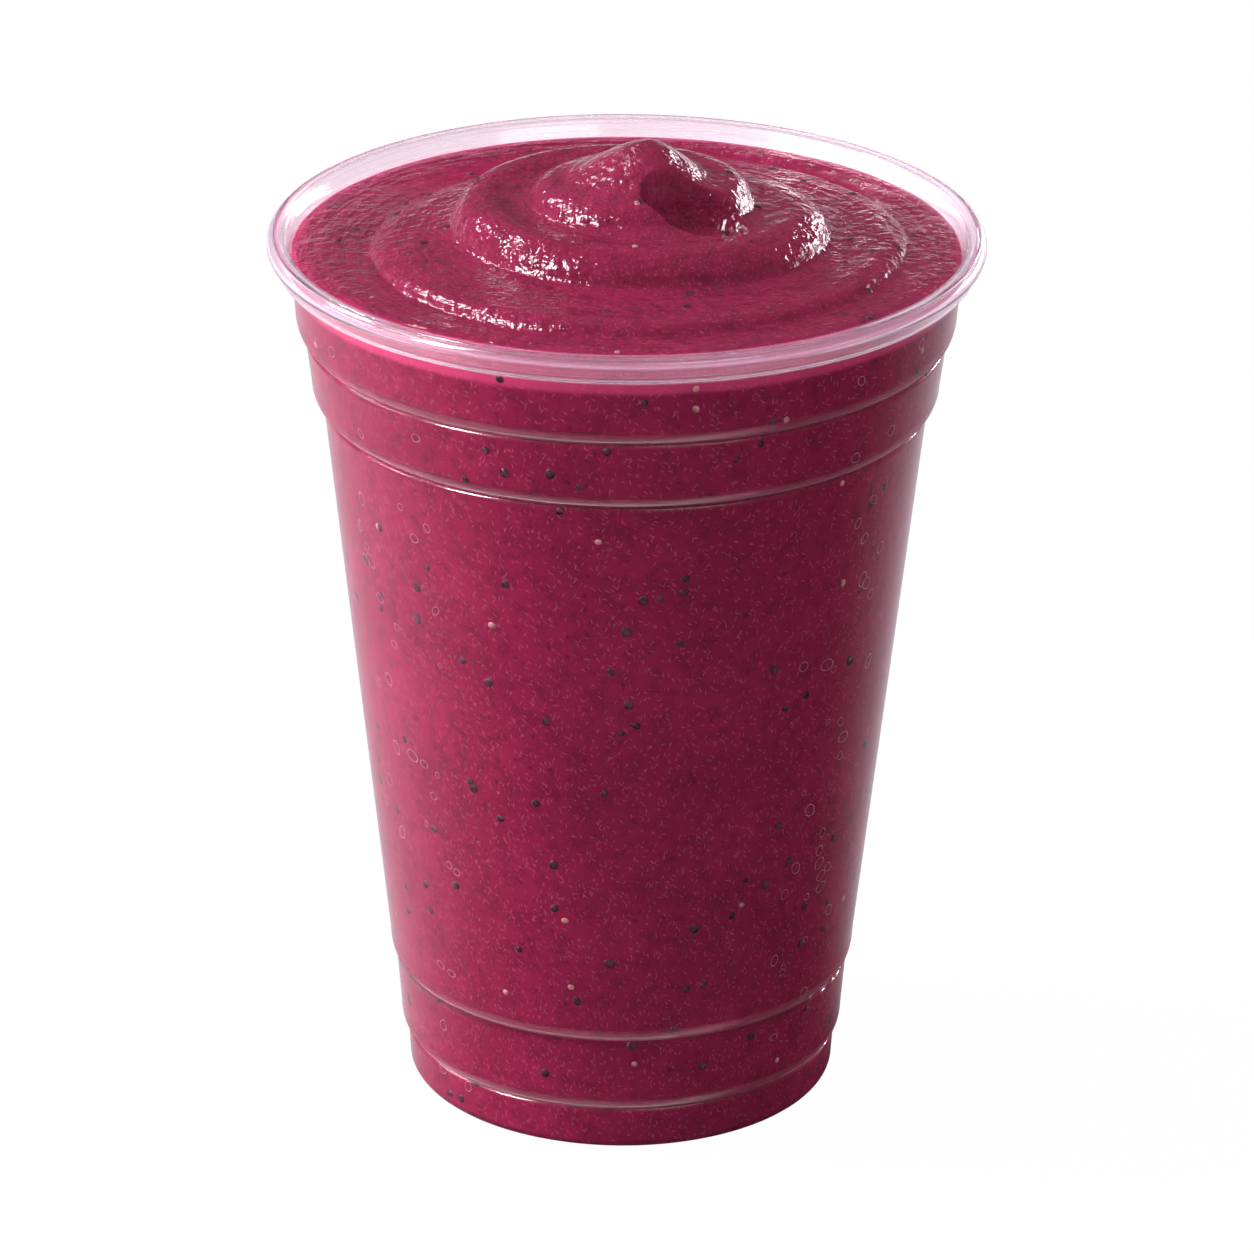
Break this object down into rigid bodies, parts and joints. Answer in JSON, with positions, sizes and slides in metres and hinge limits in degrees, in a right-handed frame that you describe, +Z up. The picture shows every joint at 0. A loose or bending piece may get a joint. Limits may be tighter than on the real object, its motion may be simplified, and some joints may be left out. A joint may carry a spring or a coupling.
{
  "type": "berry smoothie",
  "caption": "Thick berry smoothie with a swirled, peaked top in a clear tapered cold-drink cup with a rolled rim and stepped bands.",
  "frame": {"origin": "on the table, under the middle of the cup's box", "axes": "+Z up along the cup's axis; +Y away from the side that is looked at; +X to its right"},
  "size_m": [0.098, 0.098, 0.1375],
  "materials": {
    "clear_plastic": "clear formed plastic sheet, glossy",
    "smoothie": "wet, glossy, with fine fruit fibres",
    "dark_seeds": "wet, satin",
    "pale_seeds": "wet, satin",
    "bubble_rims": "pale thin rims of small bubbles, satin"
  },
  "bodies": {
    "root": {"cup": "clear_plastic", "smoothie": "smoothie"}
  },
  "joints": []
}
